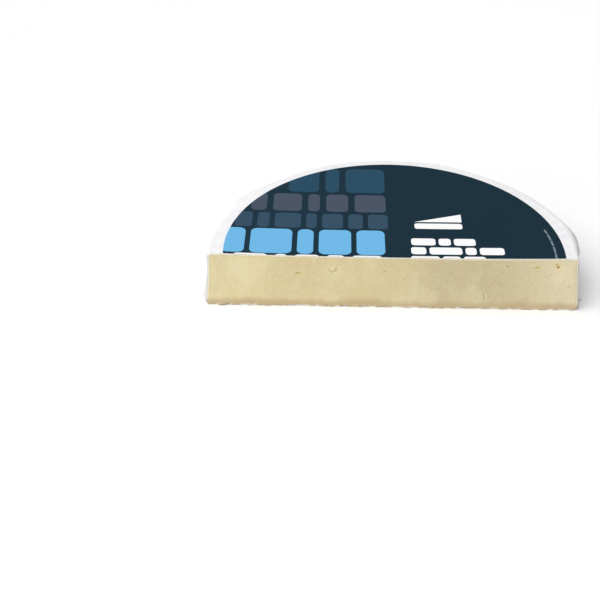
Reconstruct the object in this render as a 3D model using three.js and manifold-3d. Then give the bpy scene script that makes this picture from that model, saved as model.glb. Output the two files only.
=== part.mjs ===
// Half a wheel of brie, cut across with a knife, still in its pleated wrapping paper and with its round top label.
// Units are millimetres. Z is the wheel's axis, the half rests on z = 0, and its cut face looks along -Y.
// The origin is the point where the axis of the whole wheel meets the surface that the half rests on.
import * as THREE from "three";
import { mergeVertices } from "three/addons/utils/BufferGeometryUtils.js";
import Module from "manifold-3d";

// The cheese
const WHEEL_RADIUS = 134.4; // at the top rim
const SLUMP = 3.2; // how much wider the wheel has settled at its foot
const WHEEL_HEIGHT = 45.2; // at the rim
const TOP_DISH = 1.8; // how far the middle of the top has sunk below the rim
const DISH_RINGS = [126, 112, 80, 0]; // radii at which the dish of the top is stepped
const TOP_EDGE_ROUND = 2.6;
const FOOT_EDGE_ROUND = 5;
const SIDE_SHARES = [0.13, 0.3, 0.5, 0.7, 0.9]; // shares of the height at which the side is stepped
const ROUND_STEP = THREE.MathUtils.degToRad(30); // turn between two points of a rounded edge
const BROAD_SWAY = 0.25; // how far the side strays in three waves round the wheel
const FINE_SWAY = 0.15; // and in eight waves
const FOOT_TUCK = 0.4; // how much further in the rounded foot lies
const CUT_OFFSET = 7.8; // the knife passed this far in front of the axis
const CHEESE_COLUMNS = 96;

// The wrapping paper, as one shell that stands for its folded layers
const PAPER = 0.6;
const PAPER_CLEARANCE = 0.3; // between paper and cheese, where they touch
const PLEATS = 30; // round the whole wheel
const PLEAT_HEIGHT = 1.7; // how far a fold stands out at the foot
const PLEAT_HEIGHT_SPREAD = 0.45; // share by which the heights differ
const PLEAT_WIDTH = THREE.MathUtils.degToRad(3.2); // of the slope before a fold's crest
const PLEAT_GAP_SHARE = 0.3; // that slope takes up no more than this share of the gap before the crest
const STEEP_SHARE = 0.35; // the slope behind the crest is this much shorter
const NARROWEST = 0.3; // share of its width that a fold has where it starts
const PLEAT_JITTER = 0.32; // share of the pitch by which a pleat strays
const PLEAT_SKEW = THREE.MathUtils.degToRad(1.6); // how far a fold leans on its way down
const RIM_PLEAT_SHARE = 0.2; // a fold starts this small at the rim
const PANEL_SHARE = 0.3; // share of its flatness that the panel between two folds has at the rim
const COLUMNS_PER_PLEAT = 5;
const WRAP_SHARES = [0.14, 0.3, 0.48, 0.66, 0.82, 0.92]; // shares of the height at which the wrap is stepped
const LOOSE_AT_FOOT = 0.3; // share of the looseness that shows where the side meets the foot
const LOOSEST = 0.625; // share of the height at which all of it shows

// The wrap's edges, in rows. back is the distance in from the wrap's radius there, and up or down is the distance
// from its underside or from its top. pleat and loose are how much of a fold and of the looseness shows, and inward
// is the way in which the sheet's thickness lies.
const FOOT_ROWS = [
  { back: 5, up: 0, pleat: 0.25, loose: 0.1, inward: [0, 1] },
  { back: 2, up: 0.5, pleat: 0.8, loose: 0.2, inward: [0.5, 1] },
  { back: 0.4, up: 2.4, pleat: 1, loose: 0.3, inward: [1, 0.6] },
];
const RIM_ROWS = [
  { back: 0.2, down: 1.6, pleat: 0.2, loose: 0.5, inward: [1, 0.5] },
  { back: 1.7, down: 0.3, pleat: 0.1, loose: 0.4, inward: [0.6, 1] },
  { back: 4.9, down: 0, pleat: 0, loose: 0.2, inward: [0, 1] },
];

// The top label
const LABEL_RADIUS = 125;
const LABEL = 0.4;
const LABEL_CLEARANCE = 0.15;
const LABEL_MARGIN = 2; // the paper is flat as far as this beyond the label
const LABEL_COLUMNS = 144;

// Places where the paper stands away from the side, as an angle from +X, a spread and a distance
const LOOSE_PLACES = [
  { at: 16, spread: 15, out: 5.4 },
  { at: 37, spread: 9, out: 3.6 },
  { at: 74, spread: 11, out: 1.8 },
  { at: 112, spread: 9, out: 0.7 },
  { at: 145, spread: 9, out: 4.6 },
  { at: 179, spread: 10, out: 1.6 },
];

// Slits and eyes in the cut face: middle, width, height and turn in degrees
const EYES = [
  { x: -69.5, z: 30, wide: 4.6, high: 1.7, turn: 16 },
  { x: -44, z: 34, wide: 2.6, high: 2.0, turn: 30 },
  { x: -5.4, z: 32.5, wide: 2.8, high: 1.3, turn: 0 },
  { x: 8.4, z: 25.5, wide: 2.6, high: 1.3, turn: -10 },
  { x: 69, z: 11, wide: 1.6, high: 4.0, turn: 4 },
  { x: 83.6, z: 39, wide: 3.0, high: 1.5, turn: 22 },
  { x: 105, z: 38, wide: 5.6, high: 1.7, turn: -4 },
  { x: 119.6, z: 40, wide: 4.4, high: 3.2, turn: 20 },
];
const EYE_DEPTH = 1.8;
const EYE_SIDES = 9;
const EYE_RINGS = 6;

// Torn rind along the foot of the cut face
const TEARS = 18;
const TEAR_SIZE = 1.5;
const TEAR_SIZE_SPREAD = 0.35;
const TEAR_LENGTH = 1.5; // in units of its size
const TEAR_LENGTH_SPREAD = 0.6;
const TEAR_HEIGHT = 0.62;
const TEAR_STRAY = 0.35; // share of the pitch by which a tear strays
const TEAR_PROUD = 0.35;

const LIFT = PAPER + PAPER_CLEARANCE; // from the cheese's surface to the outside of the paper
const FOOT_Z = LIFT;
const TOP_Z = FOOT_Z + WHEEL_HEIGHT;
const TURN = 2 * Math.PI;
const CUTTER_SIZE = 400;
const MERGE_DISTANCE = 1e-3;

const wasm = await Module();
wasm.setup();

// A repeatable number from -1 to 1 for each seed.
function scatter(seed) {
  const wave = Math.sin(seed * 12.9898) * 43758.5453;
  return 2 * (wave - Math.floor(wave)) - 1;
}

// A closed three.js geometry as a manifold solid, with its vertices merged and collapsed triangles dropped.
function solidOf(geometry) {
  const bare = geometry.clone();
  bare.deleteAttribute("normal");
  bare.deleteAttribute("uv");
  const merged = mergeVertices(bare, MERGE_DISTANCE);
  const corners = merged.index.array;
  const kept = [];
  for (let i = 0; i < corners.length; i += 3) {
    const [a, b, c] = corners.slice(i, i + 3);
    if (a !== b && b !== c && a !== c) kept.push(a, b, c);
  }
  return new wasm.Manifold(
    new wasm.Mesh({
      numProp: 3,
      vertProperties: merged.attributes.position.array,
      triVerts: new Uint32Array(kept),
    }),
  );
}

function geometryOf(solid) {
  const mesh = solid.getMesh();
  const geometry = new THREE.BufferGeometry();
  geometry.setAttribute("position", new THREE.BufferAttribute(mesh.vertProperties, 3));
  geometry.setIndex(new THREE.BufferAttribute(mesh.triVerts, 1));
  geometry.computeVertexNormals();
  return geometry;
}

// A closed lathe form about Z, from the bottom pole to the top pole, whose points are set by place(column, row).
function turned(rows, columns, place) {
  const rings = Array.from({ length: rows }, (_, row) => {
    const onAxis = row === 0 || row === rows - 1;
    return new THREE.Vector2(onAxis ? 0 : 1, row);
  });
  const geometry = new THREE.LatheGeometry(rings, columns);
  const position = geometry.attributes.position;
  for (let i = 0; i < position.count; i++) {
    const column = Math.floor(i / rows) % columns;
    const { radius, angle, z } = place(column, i % rows);
    position.setXYZ(i, radius * Math.cos(angle), radius * Math.sin(angle), z);
  }
  return geometry;
}

// Everything in front of the knife's plane.
function frontOfTheCut() {
  const block = new THREE.BoxGeometry(CUTTER_SIZE, CUTTER_SIZE, CUTTER_SIZE);
  block.translate(0, -CUT_OFFSET - CUTTER_SIZE / 2, 0);
  return solidOf(block);
}

// Height of the cheese's top face at a radius: a shallow dish with a raised rim.
function topOfCheese(radius) {
  const share = Math.min(radius / WHEEL_RADIUS, 1);
  return TOP_Z - TOP_DISH * (1 - share ** 3);
}

// Radius of the cheese's side at a share of its height: the wheel has settled outwards at its foot.
function sideOfCheese(share) {
  return WHEEL_RADIUS + SLUMP * (1 - share) ** 1.4;
}

// Points of the cheese's outline from the bottom pole to the top pole, as radius and height.
function cheeseOutline() {
  const foot = sideOfCheese(0);
  const points = [
    { radius: 0, z: FOOT_Z },
    { radius: foot - FOOT_EDGE_ROUND, z: FOOT_Z },
  ];
  for (let step = 1; step <= 2; step++) {
    const angle = step * ROUND_STEP;
    points.push({
      radius: foot - FOOT_EDGE_ROUND * (1 - Math.sin(angle)) - FOOT_TUCK,
      z: FOOT_Z + FOOT_EDGE_ROUND * (1 - Math.cos(angle)),
    });
  }
  for (const share of SIDE_SHARES) {
    points.push({ radius: sideOfCheese(share), z: FOOT_Z + share * WHEEL_HEIGHT });
  }
  for (let step = 1; step <= 3; step++) {
    const angle = step * ROUND_STEP;
    points.push({
      radius: WHEEL_RADIUS - TOP_EDGE_ROUND * (1 - Math.cos(angle)),
      z: TOP_Z - TOP_EDGE_ROUND * (1 - Math.sin(angle)),
    });
  }
  for (const radius of DISH_RINGS) points.push({ radius, z: topOfCheese(radius) });
  return points;
}

// An ellipsoid that hollows out one slit or eye of the cut face.
function eyeHollow(eye) {
  const hollow = new THREE.SphereGeometry(0.5, EYE_SIDES, EYE_RINGS);
  hollow.scale(eye.wide, 2 * EYE_DEPTH, eye.high);
  hollow.rotateY(THREE.MathUtils.degToRad(eye.turn));
  hollow.translate(eye.x, -CUT_OFFSET, eye.z);
  return solidOf(hollow);
}

// A shred of rind that stands proud of the cut face along its foot.
function tear(i) {
  const size = TEAR_SIZE * (1 + TEAR_SIZE_SPREAD * scatter(i + 300));
  const length = TEAR_LENGTH + TEAR_LENGTH_SPREAD * scatter(i + 340);
  const share = (i + 0.5 + TEAR_STRAY * scatter(i + 320)) / TEARS;
  const shred = new THREE.IcosahedronGeometry(size, 0);
  shred.scale(length, 1, TEAR_HEIGHT);
  const along = (2 * share - 1) * (WHEEL_RADIUS - FOOT_EDGE_ROUND);
  shred.translate(along, -CUT_OFFSET + size - TEAR_PROUD, FOOT_Z + size * TEAR_HEIGHT);
  return solidOf(shred);
}

function makeCheese() {
  const outline = cheeseOutline();
  const wheel = turned(outline.length, CHEESE_COLUMNS, (column, row) => {
    const angle = (column / CHEESE_COLUMNS) * TURN;
    const sway = BROAD_SWAY * (Math.sin(3 * angle + 1) - 1) + FINE_SWAY * (Math.sin(8 * angle + 2) - 1);
    const { radius, z } = outline[row];
    const onSide = radius > WHEEL_RADIUS - FOOT_EDGE_ROUND;
    return { radius: onSide ? radius + sway : radius, angle, z };
  });
  let half = solidOf(wheel).subtract(frontOfTheCut());
  for (const eye of EYES) half = half.subtract(eyeHollow(eye));
  for (let i = 0; i < TEARS; i++) half = half.add(tear(i));
  return geometryOf(half);
}

// Angle of each pleat on the rim, unevenly spaced round the wheel.
const pleatAngles = Array.from(
  { length: PLEATS },
  (_, i) => ((i + PLEAT_JITTER * scatter(i + 1)) * TURN) / PLEATS,
);

function pleatAngle(i) {
  const lap = Math.floor(i / PLEATS);
  return pleatAngles[i - lap * PLEATS] + lap * TURN;
}

// How far the paper stands away from the side at an angle, from the loose places.
function looseness(angle) {
  return LOOSE_PLACES.reduce((sum, place) => {
    const turned = THREE.MathUtils.euclideanModulo(THREE.MathUtils.radToDeg(angle) - place.at + 180, 360) - 180;
    const off = turned / place.spread;
    return sum + place.out * Math.exp(-off * off);
  }, 0);
}

// Rows of the paper from the bottom pole to the top pole: the plain wrap's radius and height, and pleat, loose and
// inward as in FOOT_ROWS.
function paperRows() {
  const flat = { pleat: 0, loose: 0, inward: [0, 1] };
  const rows = [{ radius: 0, z: 0, ...flat }];
  for (const { back, up, ...rest } of FOOT_ROWS) rows.push({ radius: sideOfCheese(0) + LIFT - back, z: up, ...rest });
  for (const share of WRAP_SHARES) {
    rows.push({
      radius: sideOfCheese(share) + LIFT,
      z: FOOT_Z + share * WHEEL_HEIGHT,
      pleat: 1 - (1 - RIM_PLEAT_SHARE) * share,
      loose: LOOSE_AT_FOOT + (1 - LOOSE_AT_FOOT) * Math.sin(((Math.PI / 2) * share) / LOOSEST),
      inward: [1, 0],
    });
  }
  for (const { back, down, ...rest } of RIM_ROWS) {
    rows.push({ radius: WHEEL_RADIUS + LIFT - back, z: TOP_Z + LIFT - down, ...rest });
  }
  for (const radius of DISH_RINGS) rows.push({ radius, z: topOfCheese(radius) + LIFT, ...flat });
  return rows;
}

// Angle of a pleat's crest, which leans as the pleat grows on its way down.
function crestAngle(i, pleat) {
  return pleatAngle(i) + PLEAT_SKEW * scatter((i % PLEATS) + 60) * pleat;
}

// Turn that the slope before a crest takes up.
function slopeTurn(gap, pleat) {
  return Math.min(PLEAT_WIDTH, PLEAT_GAP_SHARE * gap) * (NARROWEST + (1 - NARROWEST) * pleat);
}

// Where the paper's surface lies in one column and row, on its outside or, with inset, on its inside. A pleat's
// columns are the foot of its slope, its crest and the steps of the flat panel behind it.
function paperPoint(rows, column, row, inset) {
  const { radius, z, pleat, loose, inward } = rows[row];
  const i = Math.floor(column / COLUMNS_PER_PLEAT);
  const place = column % COLUMNS_PER_PLEAT;
  const crest = crestAngle(i, pleat);
  const next = crestAngle(i + 1, pleat);
  const previousGap = pleatAngle(i) - pleatAngle(i - 1);
  const gap = next - crest;
  const nextSlope = slopeTurn(gap, pleat);
  const start = crest + STEEP_SHARE * nextSlope;
  const step = (next - nextSlope - start) / (COLUMNS_PER_PLEAT - 2);
  const onSlope = [crest - slopeTurn(previousGap, pleat), crest];
  const angle = place < 2 ? onSlope[place] : start + (place - 2) * step;
  const onPleat = place === 1 ? PLEAT_HEIGHT * (1 + PLEAT_HEIGHT_SPREAD * scatter(i + 90)) * pleat : 0;
  const middle = place < 1 ? crest - previousGap / 2 : crest + gap / 2;
  const onPanel = radius > LABEL_RADIUS + LABEL_MARGIN ? radius / Math.cos(angle - middle) - radius : 0;
  const standOff = onPanel * Math.min(1, pleat + PANEL_SHARE) + onPleat + looseness(angle) * loose;
  return {
    radius: radius + (radius > LABEL_RADIUS ? standOff : 0) - inset * inward[0],
    angle,
    z: z + (z > TOP_Z / 2 ? -inset : inset) * inward[1],
  };
}

function makePaper() {
  const rows = paperRows();
  const columns = PLEATS * COLUMNS_PER_PLEAT;
  const skin = (inset) => {
    const place = (column, row) => paperPoint(rows, column, row, inset);
    return solidOf(turned(rows.length, columns, place));
  };
  return geometryOf(skin(0).subtract(skin(PAPER)).subtract(frontOfTheCut()));
}

function makeLabel() {
  const seat = LIFT + LABEL_CLEARANCE;
  const radii = [LABEL_RADIUS, ...DISH_RINGS.slice(1)].reverse();
  const under = radii.map((radius) => ({ radius, z: topOfCheese(radius) + seat }));
  const over = under.map(({ radius, z }) => ({ radius, z: z + LABEL })).reverse();
  const outline = [...under, ...over];
  const disc = turned(outline.length, LABEL_COLUMNS, (column, row) => ({
    radius: outline[row].radius,
    angle: (column / LABEL_COLUMNS) * TURN,
    z: outline[row].z,
  }));
  return geometryOf(solidOf(disc).subtract(frontOfTheCut()));
}

function mesh(name, geometry, color, roughness) {
  const made = new THREE.Mesh(geometry, new THREE.MeshStandardMaterial({ color, roughness, metalness: 0 }));
  made.name = name;
  return made;
}

const brie = new THREE.Group();
brie.add(
  mesh("cheese", makeCheese(), 0xe0d2a4, 0.55),
  mesh("paper_wrap", makePaper(), 0xf2f0ee, 0.7),
  mesh("top_label", makeLabel(), 0x1f303d, 0.5),
);
export default brie;
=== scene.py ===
import math
from bisect import bisect
from collections import namedtuple

import bmesh
import bpy
from bpy.props import FloatProperty, FloatVectorProperty, IntProperty, PointerProperty
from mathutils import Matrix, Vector, noise


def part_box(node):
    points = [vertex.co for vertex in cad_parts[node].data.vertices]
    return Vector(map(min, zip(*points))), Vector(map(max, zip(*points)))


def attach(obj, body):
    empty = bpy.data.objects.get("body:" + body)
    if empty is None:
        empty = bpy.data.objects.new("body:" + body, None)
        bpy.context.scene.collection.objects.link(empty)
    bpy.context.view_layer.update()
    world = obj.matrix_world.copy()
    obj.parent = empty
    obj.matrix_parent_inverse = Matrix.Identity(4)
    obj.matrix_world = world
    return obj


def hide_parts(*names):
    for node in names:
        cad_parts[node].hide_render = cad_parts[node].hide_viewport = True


bl_info = {
    "name": "Half Brie Wheel",
    "version": (1, 0, 0),
    "blender": (4, 5, 0),
    "location": "View3D > Sidebar > Brie",
    "description": "Builds half a wheel of brie in its pleated paper, with its label, and a studio for it",
    "category": "Add Mesh",
}

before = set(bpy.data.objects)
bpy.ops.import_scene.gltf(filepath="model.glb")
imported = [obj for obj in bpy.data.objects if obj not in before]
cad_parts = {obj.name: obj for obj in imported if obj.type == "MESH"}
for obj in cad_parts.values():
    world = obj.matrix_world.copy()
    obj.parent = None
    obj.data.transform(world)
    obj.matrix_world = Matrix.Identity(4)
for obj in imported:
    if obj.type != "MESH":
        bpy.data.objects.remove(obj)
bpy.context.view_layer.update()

MM = 0.001
TURN = 2 * math.pi
BODY = "root"
SHARP_ANGLE = math.radians(38)
MERGE_DISTANCE = 1e-6
OFF_MIDDLE = 0.01 * MM  # a sheet's right half and left half start this far from its middle
HUB_RADIUS = 112 * MM  # inside it the rays of the flat sheets run to the middle of the cut
DISH_POWER = 3
DROOP_REACH = 10 * MM  # the rim sinks over this much beyond the label
SLUMP_POWER = 1.4
END_REACH = math.radians(12)  # the soft ends of the cut swell over about this angle
LEFT_SWELL = 1.3 * MM
FOOT_FLARE = 2.4 * MM  # how far the right end stands out at the foot
TOP_SHRINK = 0.7 * MM  # how far it stands in at the top
BACK_SHRINK = 1.6 * MM  # how far the back stands in from the plain round

PAPER_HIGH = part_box("paper_wrap")[1]
LABEL_LOW, LABEL_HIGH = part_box("top_label")
CHEESE_LOW, CHEESE_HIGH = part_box("cheese")
CUT_Y = LABEL_LOW.y  # the knife's plane
FOOT_Z = CHEESE_LOW.z  # underside of the cheese, on the paper


class WheelSettings(bpy.types.PropertyGroup):
    """Sizes of the cheese."""

    radius: FloatProperty(
        name="Radius", description="Radius at the top rim", default=134.4 * MM, unit="LENGTH"
    )
    slump: FloatProperty(
        name="Slump", description="How much wider the wheel is at its foot", default=3.2 * MM, unit="LENGTH"
    )
    dish: FloatProperty(
        name="Dish", description="How far the middle of the top has sunk", default=1.8 * MM, unit="LENGTH"
    )
    droop: FloatProperty(
        name="Droop",
        description="How far the rim has sunk outside the label",
        default=0.8 * MM,
        unit="LENGTH",
    )
    top_round: FloatProperty(
        name="Top edge", description="Rounding of the top edge", default=1.8 * MM, unit="LENGTH"
    )
    foot_round: FloatProperty(
        name="Foot edge", description="Rounding of the foot edge", default=3.9 * MM, unit="LENGTH"
    )
    face_columns: IntProperty(
        name="Face columns", description="Faces along the cut face", default=500, min=20
    )
    face_rows: IntProperty(name="Face rows", description="Faces up the cut face", default=84, min=8)
    back_steps: IntProperty(
        name="Back steps", description="Sections from the cut face to the back", default=20, min=4
    )
    paste: FloatVectorProperty(
        name="Paste", description="Colour of the paste", default=(0.722, 0.62, 0.356), size=3, subtype="COLOR"
    )
    paste_pale: FloatVectorProperty(
        name="Pale paste",
        description="Colour of the paste at its palest",
        default=(0.76, 0.67, 0.475),
        size=3,
        subtype="COLOR",
    )
    # The deep paste is also the painted shade in the middle of the cut face
    paste_deep_and_shade: FloatVectorProperty(
        name="Deep paste",
        description="Colour of the paste where it is denser",
        default=(0.558, 0.472, 0.284),
        size=3,
        subtype="COLOR",
    )
    rind: FloatVectorProperty(
        name="Rind",
        description="Colour of the white rind",
        default=(0.86, 0.82, 0.70),
        size=3,
        subtype="COLOR",
    )


class PaperSettings(bpy.types.PropertyGroup):
    """Sizes of the wrapping paper."""

    thickness: FloatProperty(
        name="Thickness", description="Thickness of the folded sheet", default=0.35 * MM, unit="LENGTH"
    )
    lift: FloatProperty(
        name="Lift",
        description="From the cheese's surface to the paper's outside",
        default=0.9 * MM,
        unit="LENGTH",
    )
    pleats: IntProperty(name="Pleats", description="Main folds round a whole wheel", default=30, min=6)
    columns: IntProperty(name="Columns", description="Faces round the half", default=760, min=60)
    side_rows: IntProperty(name="Side rows", description="Faces down the side", default=64, min=8)
    pleat_height: FloatProperty(
        name="Pleat height",
        description="How far a fold stands out at the foot",
        default=1.9 * MM,
        unit="LENGTH",
    )
    crumple: FloatProperty(
        name="Crumple", description="Depth of the dents between creases", default=2.4 * MM, unit="LENGTH"
    )
    white: FloatVectorProperty(
        name="Paper",
        description="Colour of the paper",
        default=(0.88, 0.88, 0.885),
        size=3,
        subtype="COLOR",
    )
    # Also painted shade, on the side below the rim and in the hollows between folds
    damp_and_shade: FloatVectorProperty(
        name="Damp paper",
        description="Colour where the rind shows through",
        default=(0.47, 0.432, 0.398),
        size=3,
        subtype="COLOR",
    )


class LabelSettings(bpy.types.PropertyGroup):
    """Size and print colours of the round label."""

    thickness: FloatProperty(
        name="Thickness", description="Thickness of the label", default=0.2 * MM, unit="LENGTH"
    )
    navy: FloatVectorProperty(
        name="Navy",
        description="Ground of the print",
        default=(0.0085, 0.0265, 0.0425),
        size=3,
        subtype="COLOR",
    )
    slate: FloatVectorProperty(
        name="Slate", description="Top row", default=(0.021, 0.067, 0.114), size=3, subtype="COLOR"
    )
    plum: FloatVectorProperty(
        name="Plum", description="Second row", default=(0.064, 0.082, 0.12), size=3, subtype="COLOR"
    )
    steel: FloatVectorProperty(
        name="Steel", description="Third row", default=(0.034, 0.073, 0.117), size=3, subtype="COLOR"
    )
    sky: FloatVectorProperty(
        name="Sky", description="Bright row", default=(0.15, 0.45, 0.74), size=3, subtype="COLOR"
    )
    white: FloatVectorProperty(
        name="White", description="White print", default=(0.9, 0.9, 0.9), size=3, subtype="COLOR"
    )


class StudioSettings(bpy.types.PropertyGroup):
    """The camera and the light."""

    distance: FloatProperty(
        name="Distance", description="From the camera to the middle of the view", default=0.9, unit="LENGTH"
    )
    elevation: FloatProperty(
        name="Elevation",
        description="How far the camera looks down",
        default=math.radians(36.18),
        subtype="ANGLE",
    )
    turn: FloatProperty(
        name="Turn", description="Heading of the camera from +Y", default=math.radians(1.64), subtype="ANGLE"
    )
    aside: FloatProperty(
        name="Aside",
        description="How far left of the wheel's axis the view is",
        default=68.6 * MM,
        unit="LENGTH",
    )
    lens: FloatProperty(name="Lens", description="Focal length in millimetres", default=71.46)
    sky: FloatProperty(name="Surround", description="Strength of the white surround", default=0.38)


# Tools for shapes


def scatter(seed):
    """A repeatable number from -1 to 1 for each seed."""
    swing = math.sin(seed * 12.9898) * 43758.5453
    return 2 * (swing - math.floor(swing)) - 1


def around(middle, spread, seed):
    """A repeatable value within a spread of its middle."""
    return middle + spread * scatter(seed)


def moved(pair, share):
    """The first value of a pair, moved by a share of the second."""
    return pair[0] + pair[1] * share


def clamp(value, low=0.0, high=1.0):
    return max(low, min(high, value))


def from_least(least, share):
    """A share from 0 to 1, raised so that it starts at a least value."""
    return least + (1 - least) * share


def ease(value):
    """A smooth step from 0 to 1."""
    share = clamp(value)
    return share * share * (3 - 2 * share)


def bell(value, width):
    """1 at 0, falling off smoothly to both sides."""
    return math.exp(-((value / width) ** 2))


def wave(x, y, layer):
    """Smooth noise from about -1 to 1 in a plane."""
    return noise.noise(Vector((x, y, layer)), noise_basis="PERLIN_ORIGINAL")


def finish_piece(mesh_data, name, node, material):
    """Turns a bmesh into a named piece that rides on the body and stands for its CAD node."""
    mesh = bpy.data.meshes.new(name)
    mesh_data.to_mesh(mesh)
    mesh_data.free()
    mesh.shade_smooth()
    mesh.set_sharp_from_angle(angle=SHARP_ANGLE)
    mesh.materials.append(material)
    piece = bpy.data.objects.new(name, mesh)
    bpy.context.scene.collection.objects.link(piece)
    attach(piece, BODY)
    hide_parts(node)


def shaped_grid(columns, rows, place, layers=()):
    """A grid whose vertices are put where place(column, row) says, with further values kept in named layers.

    Where the first or the last row comes to one point, it is merged.
    """
    shape = bmesh.new()
    kept = [shape.verts.layers.float.new(name) for name in layers]
    bmesh.ops.create_grid(shape, x_segments=columns, y_segments=rows, size=0.5, calc_uvs=False)
    ends = []
    for vert in shape.verts:
        row = round((vert.co.y + 0.5) * rows)
        vert.co, *values = place(round((vert.co.x + 0.5) * columns), row)
        for layer, value in zip(kept, values):
            vert[layer] = value
        if row in (0, rows):
            ends.append(vert)
    bmesh.ops.remove_doubles(shape, verts=ends, dist=MERGE_DISTANCE)
    return shape


def join_sheets(shape, other):
    """Adds another sheet to a shape and closes the gap between their open edges, one half at a time."""
    mesh = bpy.data.meshes.new("sheet")
    other.to_mesh(mesh)
    other.free()
    shape.from_mesh(mesh)
    bpy.data.meshes.remove(mesh)
    for side in (-1, 1):
        edges = [edge for edge in shape.edges if edge.is_boundary]
        half = [edge for edge in edges if side * sum(vert.co.x for vert in edge.verts) > OFF_MIDDLE]
        bmesh.ops.bridge_loops(shape, edges=half)
    bmesh.ops.recalc_face_normals(shape, faces=shape.faces)


def fan_angle(share, radius):
    """Angle for a share of the way round the half, from the knife's plane at the right to the left."""
    first = math.asin(CUT_Y / radius)
    return first + share * (math.pi - 2 * first)


def fan_spot(share, radius):
    """Point in plan for a share of the way round. Inside HUB_RADIUS the rays meet on the knife's plane."""
    rim = max(radius, HUB_RADIUS)
    angle = fan_angle(share, rim)
    spot = Vector((rim * math.cos(angle), rim * math.sin(angle)))
    return Vector((0, CUT_Y)).lerp(spot, min(radius / HUB_RADIUS, 1))


def top_height(radius, wheel):
    """Height of the paper's outside over the dished top."""
    share = min(radius / wheel.radius, 1)
    dish = wheel.dish * (1 - share**DISH_POWER)
    return PAPER_HIGH.z - dish - wheel.droop * ease((radius - LABEL_HIGH.x) / DROOP_REACH)


def side_radius(share, wheel):
    """Radius of the cheese's side at a share of its height."""
    return wheel.radius + wheel.slump * (1 - clamp(share)) ** SLUMP_POWER


def height_share(height):
    """Share of the cheese's height at which a height in the frame is."""
    return (height - FOOT_Z) / (CHEESE_HIGH.z - FOOT_Z)


def swell(angle, share):
    """How far the cheese stands past the round at an angle and a share of its height."""
    left = (LEFT_SWELL + BACK_SHRINK) * bell(math.pi - angle, END_REACH)
    right = (FOOT_FLARE * (1 - clamp(share)) - TOP_SHRINK + BACK_SHRINK) * bell(angle, END_REACH)
    return left + right - BACK_SHRINK


# Tools for materials

MIX_INPUTS = (0, 6, 7)  # a Mix node's sockets for its factor and its two colours
MIX_RESULT = 2


class Finish:
    """A material with short calls for its nodes."""

    def __init__(self, name):
        self.material = bpy.data.materials.new(name)
        self.material.use_nodes = True
        self.tree = self.material.node_tree
        self.shader = self.tree.nodes["Principled BSDF"]
        self.place = self.add("ShaderNodeTexCoord").outputs["Object"]

    def add(self, kind, **settings):
        node = self.tree.nodes.new(kind)
        for key, value in settings.items():
            setattr(node, key, value)
        return node

    def feed(self, socket, value):
        if isinstance(value, bpy.types.NodeSocket):
            self.tree.links.new(value, socket)
        elif hasattr(value, "__len__") and len(value) == 3 and socket.type == "RGBA":
            socket.default_value = (*value, 1)
        else:
            socket.default_value = value

    def set(self, **values):
        """Sets or links the shader's own sockets, named with underscores for spaces."""
        for key, value in values.items():
            self.feed(self.shader.inputs[key.replace("_", " ")], value)

    def math(self, operation, *values):
        node = self.add("ShaderNodeMath", operation=operation)
        for socket, value in zip(node.inputs, values):
            self.feed(socket, value)
        return node.outputs[0]

    def times(self, product, *values):
        """The product of any number of values."""
        for value in values:
            product = self.math("MULTIPLY", product, value)
        return product

    def axes(self, vector):
        return self.add_linked("ShaderNodeSeparateXYZ", {"Vector": vector}).outputs

    def add_linked(self, kind, inputs, **settings):
        node = self.add(kind, **settings)
        for key, value in inputs.items():
            self.feed(node.inputs[key], value)
        return node

    def scaled(self, scale, turn=(0, 0, 0)):
        """Object coordinates stretched and turned."""
        inputs = {"Vector": self.place, "Scale": scale, "Rotation": turn}
        return self.add_linked("ShaderNodeMapping", inputs).outputs["Vector"]

    def noise(self, scale, detail=3.0, roughness=0.5, distortion=0.0, vector=None):
        inputs = {
            "Vector": vector or self.place,
            "Scale": scale,
            "Detail": detail,
            "Roughness": roughness,
            "Distortion": distortion,
        }
        return self.add_linked("ShaderNodeTexNoise", inputs).outputs["Fac"]

    def cells(self, scale, feature="F1", vector=None):
        inputs = {"Vector": vector or self.place, "Scale": scale}
        return self.add_linked("ShaderNodeTexVoronoi", inputs, feature=feature).outputs["Distance"]

    def attribute(self, name):
        return self.add("ShaderNodeAttribute", attribute_name=name).outputs["Fac"]

    def span(self, value, low, high, start=0.0, end=1.0):
        """Maps low..high to start..end by a smooth step, clamped."""
        inputs = {"Value": value, "From Min": low, "From Max": high, "To Min": start, "To Max": end}
        node = self.add_linked("ShaderNodeMapRange", inputs, interpolation_type="SMOOTHSTEP")
        return node.outputs["Result"]

    def mix(self, factor, first, second):
        """Mixes two colours."""
        node = self.add("ShaderNodeMix", data_type="RGBA")
        for number, value in zip(MIX_INPUTS, (factor, first, second)):
            self.feed(node.inputs[number], value)
        return node.outputs[MIX_RESULT]

    def ramp(self, value, stops):
        """A ramp of (place, colour) stops."""
        node = self.add("ShaderNodeValToRGB")
        elements = node.color_ramp.elements
        while len(elements) < len(stops):
            elements.new(0.5)
        for element, (place, colour) in zip(elements, stops):
            element.position = place
            element.color = (*colour, 1)
        self.feed(node.inputs["Fac"], value)
        return node.outputs["Color"]

    def bump(self, height, strength, distance, under=None):
        inputs = {"Height": height, "Strength": strength, "Distance": distance}
        if under is not None:
            inputs["Normal"] = under
        return self.add_linked("ShaderNodeBump", inputs).outputs["Normal"]


# The cheese

SHEET_GAP = 0.06 * MM  # between the cheese and its paper
TORN_LIP_SHARE = 0.006  # share of the way to the back at which the torn lip of the foot ends
ANGLE_SLACK = 1e-6  # an angle no further than this from the first one counts as on the cut face

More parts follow.
